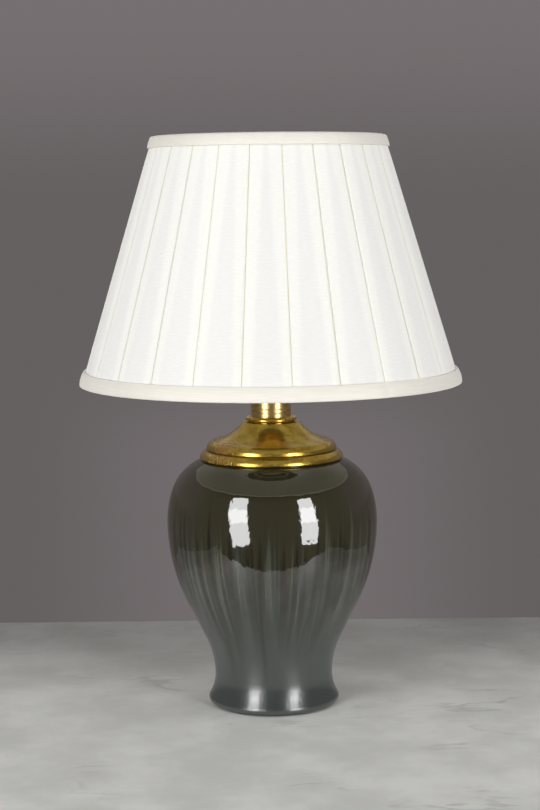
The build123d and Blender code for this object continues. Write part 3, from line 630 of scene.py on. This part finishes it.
def binding_section(outward, inward, height, bulge):
    """A chain of points (radius beyond the crest, distance from the rim).

    It goes up the lining side, round the rim on half an ellipse, along the front on a swelling
    sine, round the turned edge on a quarter circle, and in to the pleats.
    """
    rise = np.linspace(0, 1, 5)
    lining_side = pairs(-inward, height * 0.92 * (1 - rise) + rim_round * rise)
    angle = np.radians(np.linspace(180, 0, 11))[1:-1]
    middle, reach = (outward - inward) / 2, (outward + inward) / 2
    rim_turn = pairs(middle + reach * np.cos(angle), rim_round * (1 - np.sin(angle)))
    rise = np.linspace(0, 1, 9)
    swell = bulge * np.sin(pi * rise) ** 0.8
    front = pairs(outward + swell, rim_round + (height - rim_round) * rise)
    angle = np.radians(np.linspace(0, 90, 5))[1:]
    drawn_in = fold_round * (1 - np.cos(angle))
    edge = pairs(outward - drawn_in, height + fold_round * np.sin(angle))
    closing = [(-0.0006, height + 0.0004), (-0.0016, height - 0.002)]
    return np.concatenate([lining_side, rim_turn, front, edge, closing])


# %% The bindings
binding_columns = 500
ripple_height = 0.00025         # in and out, all over the front
fold_dent = 0.00018             # in, over each fold
sway_height = 0.0002            # up and down, of the front and its edge
full_ripple = 0.004             # distance from the rim where these reach their full size
map_per_radian = 0.3            # of the rim's height: a rough scale, which the slub doesn't show


def binding(name, node_name, rim, outward, inward, height, bulge, direction):
    """A bias strip round a rim of the shade, its section swept round the lamp.

    A slow ripple moves it in and out, and it dips a little over each fold of the pleats.
    direction is 1 where the strip rises from its rim, and -1 where it hangs from it.
    """
    section = binding_section(outward, inward, height, bulge)
    beyond, away = section[:, :1], section[:, 1:]
    around = np.linspace(0, 2 * pi, binding_columns, endpoint=False)[None, :]
    level = rim + direction * away
    on_face = np.clip(away / full_ripple, 0, 1) * (beyond > 0)
    fold_wave = np.cos((around - pleat_phase) * pleat_count)
    at_fold = np.maximum(fold_wave, 0) ** 12
    ripple = ripple_height * wobble(len(name), around, 90, away / height) - fold_dent * at_fold
    sway = sway_height * wobble(3, around, 40)
    radius = crest(level) + beyond + on_face * ripple
    points = round_the_lamp(radius, around, level + sway * on_face)
    if direction > 0:
        points = points[::-1]
    run = np.cumsum(np.r_[0, np.hypot(*np.diff(section, axis=0).T)])[:, None]
    blank = np.zeros(points.shape[:2])
    uv = pairs(around * rim * map_per_radian, run)
    piece = grid_object(
        name, points, "shade", binding_silk, around=True, uv=uv,
        attributes=(("layers", blank), ("gap", blank)),
    )
    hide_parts(node_name)


binding("top_binding", "top_trim", shade_top, outward=0.0015, inward=0.0086,
        height=0.0116, bulge=0.0006, direction=-1)
binding("bottom_binding", "bottom_trim", shade_bottom, outward=0.0022, inward=0.0086,
        height=0.0146, bulge=0.0010, direction=1)

# %% [markdown]
# ## The felt under the foot
# A ring of pressed felt keeps the glaze off the table. Only its edge is ever seen.

# %% Felt ring
# Its section as (radius, height): down the inner edge, along the underside, up the outer edge.
felt_section = np.array([
    (0.0546, 0.0009), (0.0549, 0.0001), (0.0587, 0.0001), (0.0622, 0.0001), (0.0625, 0.0009)
])
felt_stray = 0.0002             # of its cut edges

felt_turn = np.linspace(0, 2 * pi, 160, endpoint=False)[None, :]
felt_radius = felt_section[:, :1] + felt_stray * wobble(9, felt_turn, 30)
felt_points = round_the_lamp(felt_radius, felt_turn, felt_section[:, 1:])[:, ::-1]
felt_green, tree, shader = new_material(
    "green_felt", (0.07, 0.10, 0.06), roughness=0.95, Sheen_Weight=0.4
)
fibres = noise(tree, object_place(tree), 900.0, 4.0)
felt_colour = blend(tree, fibres, (0.045, 0.07, 0.04), (0.10, 0.14, 0.09))
fill(tree, shader.inputs["Base Color"], felt_colour)
emboss(tree, shader, fibres, distance=0.0002)
felt = grid_object("felt_ring", felt_points, "lamp_base", felt_green, around=True)
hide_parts("base_felt")

# %% [markdown]
# ## Glaze
# The glaze is thick and runs: near the cap it is olive brown, lower down it thins to a slate
# green, and between the two it has run in long vertical streaks. Near the foot the slate is
# lighter still, partly for the thinner glaze and partly as painted light from the table below.
# It lies on faint throwing rings, which make the edges of a mirrored soft box wander. All of it
# is painted by height and by direction round the jar, so that there is no seam.

# %% A group that wraps noise round the axis
wrap, given, result = new_group(
    "round the axis", {"Place": "Vector", "Turns": "Float", "Rises": "Float"},
    {"Vector": "Vector", "Height": "Float"},
)
parts = node(wrap, "SeparateXYZ", Vector=given["Place"])
level_part = node(wrap, "CombineXYZ", X=parts.outputs["X"], Y=parts.outputs["Y"])
unit = node(wrap, "VectorMath", operation="NORMALIZE")
fill(wrap, unit.inputs[0], level_part.outputs[0])
spread = node(wrap, "SeparateXYZ", Vector=unit.outputs[0])
wrapped = node(
    wrap, "CombineXYZ",
    X=maths(wrap, "MULTIPLY", spread.outputs["X"], given["Turns"]),
    Y=maths(wrap, "MULTIPLY", spread.outputs["Y"], given["Turns"]),
    Z=maths(wrap, "MULTIPLY", parts.outputs["Z"], given["Rises"]),
)
fill(wrap, result["Vector"], wrapped.outputs[0])
fill(wrap, result["Height"], parts.outputs["Z"])


def wrapped_noise(tree, turns, rises, detail=2.0):
    """Noise with cells a turns-th of the radius wide and 1/rises metres tall; and the height."""
    spot = use_group(tree, wrap, Place=object_place(tree), Turns=turns, Rises=rises)
    return noise(tree, spot["Vector"], 1.0, detail), spot["Height"]


# %% Where the glaze changes and runs
# ragged is the height in metres, moved up and down by noise, so that no zone of the glaze ends
# on a level line. The ramps over it say where a zone begins and ends.
glaze, tree, shader = new_material("running_glaze", (0.03, 0.034, 0.028), 0.05, IOR=1.95)
broad, height = wrapped_noise(tree, 5.5, 5.0)
ends, _ = wrapped_noise(tree, 26.0, 3.0, detail=1.0)
runs, _ = wrapped_noise(tree, 20.0, 5.0, detail=1.5)
lines, _ = wrapped_noise(tree, 46.0, 8.0, detail=1.0)
ragged = give_or_take(tree, ends, 0.12, height)
ragged = give_or_take(tree, broad, 0.06, ragged)
streaked = maths(
    tree, "MULTIPLY", ramp(tree, ragged, 0.05, 0.15), ramp(tree, ragged, 0.215, 0.17)
)
run = give_or_take(tree, lines, 0.3, runs)
light_run = maths(tree, "MULTIPLY", ramp(tree, run, 0.52, 0.66), streaked)
dark_run = maths(tree, "MULTIPLY", ramp(tree, run, 0.48, 0.37), streaked)

# %% Colours, gloss and relief of the glaze
foot_slate_and_painted_light, belly_green = (0.026, 0.032, 0.0295), (0.013, 0.0155, 0.0115)
top_olive = (0.024, 0.0215, 0.0095)
pale_streak, dark_streak = (0.053, 0.057, 0.043), (0.007, 0.005, 0.001)

# Below the belly the colour turns to the lighter foot slate: partly thinner glaze, partly painted
# light from the table.
ground = blend(tree, ramp(tree, ragged, 0.04, 0.10), foot_slate_and_painted_light, belly_green)
ground = blend(tree, ramp(tree, ragged, 0.125, 0.20), ground, top_olive)
colour = blend(tree, maths(tree, "MULTIPLY", light_run, 0.85), ground, pale_streak)
colour = blend(tree, maths(tree, "MULTIPLY", dark_run, 0.9), colour, dark_streak)
fill(tree, shader.inputs["Base Color"], colour)
fill(tree, shader.inputs["Roughness"], ramp(tree, height, 0.03, 0.13, 0.24, 0.045))
rings, _ = wrapped_noise(tree, 11.0, 85.0)
run_relief = ramp(tree, height, 0.08, 0.14, 0.0, 0.12)
relief = maths(tree, "MULTIPLY_ADD", runs, run_relief, rings)
emboss(tree, shader, relief, distance=0.0002)

# %% [markdown]
# ## Gilding and brass
# The cap is spun metal under gold leaf that has been rubbed and scratched: the leaf is thin in
# places, red clay shows at one worn place, and dirt sits in the groove above the rim. The neck
# and the lampholder are lacquered brass, smoother and more even. What all hard finishes share, a
# cloudy change of colour, a fine grain and an uneven gloss, is one group that each of them tunes.

# %% A group for the patina of hard finishes
patina, given, result = new_group(
    "patina",
    {
        "Place": "Vector", "Bright": "Color", "Dull": "Color", "Clouds": "Float",
        "Grain": "Float", "Roughness": "Float", "Spread": "Float",
    },
    {"Colour": "Color", "Roughness": "Float", "Height": "Float"},
)
cloudy = ramp(patina, noise(patina, given["Place"], given["Clouds"], 4.0), 0.35, 0.7)
grain = noise(patina, given["Place"], given["Grain"], 3.0)
fill(patina, result["Colour"], blend(patina, cloudy, given["Bright"], given["Dull"]))
uneven = give_or_take(patina, grain, given["Spread"], given["Roughness"])
fill(patina, result["Roughness"], uneven)
fill(patina, result["Height"], grain)


def hard_finish(name, bright, dull, roughness, metallic=1.0, clouds=55.0, grain=260.0,
                bump=0.00002, spread=0.08, turned=None, **sockets):
    """A finish with the patina group, clouds and grain in cells to the metre.

    turned, as (turns, rises), lays them in rings round the axis, in cells to the radius and to
    the metre.
    """
    material, tree, shader = new_material(name, bright, roughness, metallic, **sockets)
    place = object_place(tree)
    if turned:
        turns, rises = turned
        place = use_group(tree, wrap, Place=place, Turns=turns, Rises=rises)["Vector"]
    surface = use_group(
        tree, patina, Place=place, Bright=bright, Dull=dull, Clouds=clouds, Grain=grain,
        Roughness=roughness, Spread=spread,
    )
    fill(tree, shader.inputs["Base Color"], surface["Colour"])
    fill(tree, shader.inputs["Roughness"], surface["Roughness"])
    emboss(tree, shader, surface["Height"], distance=bump)
    return material


# %% Gilding: leaf, scratches, the worn place and the dirt
bright_leaf, dull_leaf = (0.74, 0.525, 0.10), (0.52, 0.34, 0.045)
scratch_brown, red_clay, dirt_brown = (0.20, 0.11, 0.03), (0.27, 0.10, 0.045), (0.20, 0.12, 0.04)
worn_place = (-0.050, -0.046, 0.279)
groove_height = 0.2736

gilt, tree, shader = new_material(
    "rubbed_gilding", (0.60, 0.43, 0.13), 0.30, 1.0, Coat_Weight=0.25, Coat_Roughness=0.06
)
place = object_place(tree)
leaf = noise(tree, place, 70.0, 5.0, Roughness=0.65)
spun, height = wrapped_noise(tree, 30.0, 400.0, detail=4.0)
scratch_place = node(
    tree, "Mapping", Vector=place, Rotation=(0.3, 0.4, 0.6), Scale=(900.0, 60.0, 240.0)
)
scratches = ramp(tree, noise(tree, scratch_place.outputs[0], 1.0, 1.0), 0.69, 0.75)
from_worn = node(tree, "VectorMath", operation="DISTANCE")
fill(tree, from_worn.inputs[0], place)
fill(tree, from_worn.inputs[1], worn_place)
worn_edge = give_or_take(tree, leaf, 0.04, from_worn.outputs["Value"])
flaked = ramp(tree, noise(tree, place, 330.0, 3.0), 0.44, 0.56)
worn = maths(tree, "MULTIPLY", ramp(tree, worn_edge, 0.022, 0.012), flaked)
from_groove = maths(tree, "ABSOLUTE", maths(tree, "SUBTRACT", height, groove_height))
dirt = maths(tree, "MULTIPLY", ramp(tree, from_groove, 0.0012, 0.0004), 0.4)

# %% Gilding: colour, gloss and relief
colour = blend(tree, ramp(tree, leaf, 0.35, 0.68), bright_leaf, dull_leaf)
colour = blend(tree, maths(tree, "MULTIPLY", scratches, 0.6), colour, scratch_brown)
colour = blend(tree, maths(tree, "MULTIPLY", worn, 0.85), colour, red_clay)
colour = blend(tree, dirt, colour, dirt_brown)
fill(tree, shader.inputs["Base Color"], colour)
less_metal = maths(tree, "MULTIPLY", worn, 0.6)
fill(tree, shader.inputs["Metallic"], maths(tree, "SUBTRACT", 1.0, less_metal))
rough = maths(tree, "MULTIPLY_ADD", leaf, 0.34, 0.08)
rough = maths(tree, "MULTIPLY_ADD", maths(tree, "MAXIMUM", worn, dirt), 0.2, rough)
fill(tree, shader.inputs["Roughness"], rough)
relief = maths(tree, "SUBTRACT", maths(tree, "MULTIPLY_ADD", spun, 0.4, leaf), scratches)
emboss(tree, shader, relief, distance=0.00005)

# %% Brass, steel and solder
neck_brass = hard_finish(
    "neck_brass", (0.80, 0.58, 0.25), (0.64, 0.43, 0.15), 0.29,
    clouds=1.0, grain=1.6, turned=(2.0, 420.0),
)
holder_brass = hard_finish("holder_brass", (0.72, 0.54, 0.26), (0.58, 0.42, 0.18), 0.22)
carrier_brass = hard_finish("carrier_brass", (0.68, 0.51, 0.24), (0.52, 0.38, 0.17), 0.27)
zinc_steel = hard_finish("zinc_steel", (0.58, 0.58, 0.56), (0.42, 0.42, 0.41), 0.34)
bulb_metal = hard_finish("bulb_metal", (0.72, 0.72, 0.71), (0.58, 0.58, 0.57), 0.25)
solder = hard_finish("solder", (0.55, 0.55, 0.53), (0.38, 0.38, 0.37), 0.42)
tungsten = hard_finish("tungsten", (0.33, 0.33, 0.34), (0.22, 0.22, 0.23), 0.4, grain=2000.0)

# %% [markdown]
# ## Plain finishes
# Rubber, plastic, porcelain, enamel, wood and glass only need their own gloss and a little
# unevenness. They use the same patina, without the metal, because a single flat colour never
# looks like a thing.

# %% Rubber, porcelain, plastic, enamel and glass
rubber = hard_finish("black_rubber", (0.02, 0.02, 0.02), (0.05, 0.05, 0.05), 0.75, 0.0, grain=600.0)
porcelain = hard_finish("porcelain", (0.80, 0.79, 0.75), (0.72, 0.70, 0.65), 0.28, 0.0)
black_plastic = hard_finish("black_plastic", (0.015, 0.015, 0.015), (0.03, 0.03, 0.03), 0.2, 0.0)
black_glass = hard_finish("black_glass", (0.01, 0.01, 0.012), (0.025, 0.025, 0.03), 0.1, 0.0)
enamel = hard_finish("ivory_enamel", (0.80, 0.77, 0.69), (0.72, 0.69, 0.60), 0.35, 0.0)
pearl_glass = hard_finish(
    "pearl_glass", (0.93, 0.93, 0.91), (0.88, 0.88, 0.86), 0.45, 0.0,
    bump=0.00001, Transmission_Weight=0.6, IOR=1.5,
)
clear_glass = hard_finish(
    "clear_glass", (0.95, 0.96, 0.95), (0.92, 0.93, 0.92), 0.06, 0.0,
    bump=0.00001, Transmission_Weight=1.0, IOR=1.5,
)

# %% Wood
wood, tree, shader = new_material("turned_wood", (0.5, 0.34, 0.18), roughness=0.6)
year_rings = node(
    tree, "TexWave", Vector=object_place(tree), wave_type="RINGS",
    Scale=60.0, Distortion=3.0, Detail=3.0,
).outputs["Fac"]
wood_colour = blend(tree, year_rings, (0.55, 0.38, 0.20), (0.36, 0.22, 0.11))
fill(tree, shader.inputs["Base Color"], wood_colour)
emboss(tree, shader, year_rings, distance=0.0001)

# %% [markdown]
# ## Dressing the CAD parts
# Every part that keeps its CAD shape takes its finish here, by the name of its node.

# %% Finishes of the CAD parts
finishes = {
    glaze: ["jar_body"],
    gilt: ["vase_cap"],
    neck_brass: ["neck_collar"],
    holder_brass: [
        "holder_cap", "holder_skirt", "terminal_screws", "screw_shell", "contact_tongue",
        "lower_shade_ring", "upper_shade_ring", "push_bar",
    ],
    carrier_brass: ["carrier_collar", "carrier_arm_left", "carrier_arm_right", "carrier_ring"],
    zinc_steel: ["tie_rod", "lower_washer", "lower_nut", "cap_washer", "cap_nut", "pivot_pins"],
    enamel: [
        "seat_ring", "gimbal_ring", "drop_arms", "frame_top_hoop", "frame_bottom_hoop",
        "frame_struts",
    ],
    rubber: ["cable_bush", "rubber_washer"],
    wood: ["centring_plug"],
    porcelain: ["holder_insulator"],
    black_plastic: ["push_bar_buttons"],
    black_glass: ["bulb_bead"],
    solder: ["bulb_contact"],
    bulb_metal: ["bulb_cap"],
    pearl_glass: ["bulb_glass"],
    clear_glass: ["bulb_stem"],
    tungsten: ["bulb_filament"],
}
dressed = set()
for material, names in finishes.items():
    for name in names:
        for material_slot in nodes[name].material_slots:
            material_slot.material = material
        dressed.add(name)
replaced = {"shade_pleats", "shade_lining", "top_trim", "bottom_trim", "base_felt"}
print("left bare:", sorted(set(nodes) - dressed - replaced))

# %% [markdown]
# ## View settings
# Colours are shown as written, with no film curve.

# %% Finish
bpy.context.scene.view_settings.view_transform = "Standard"
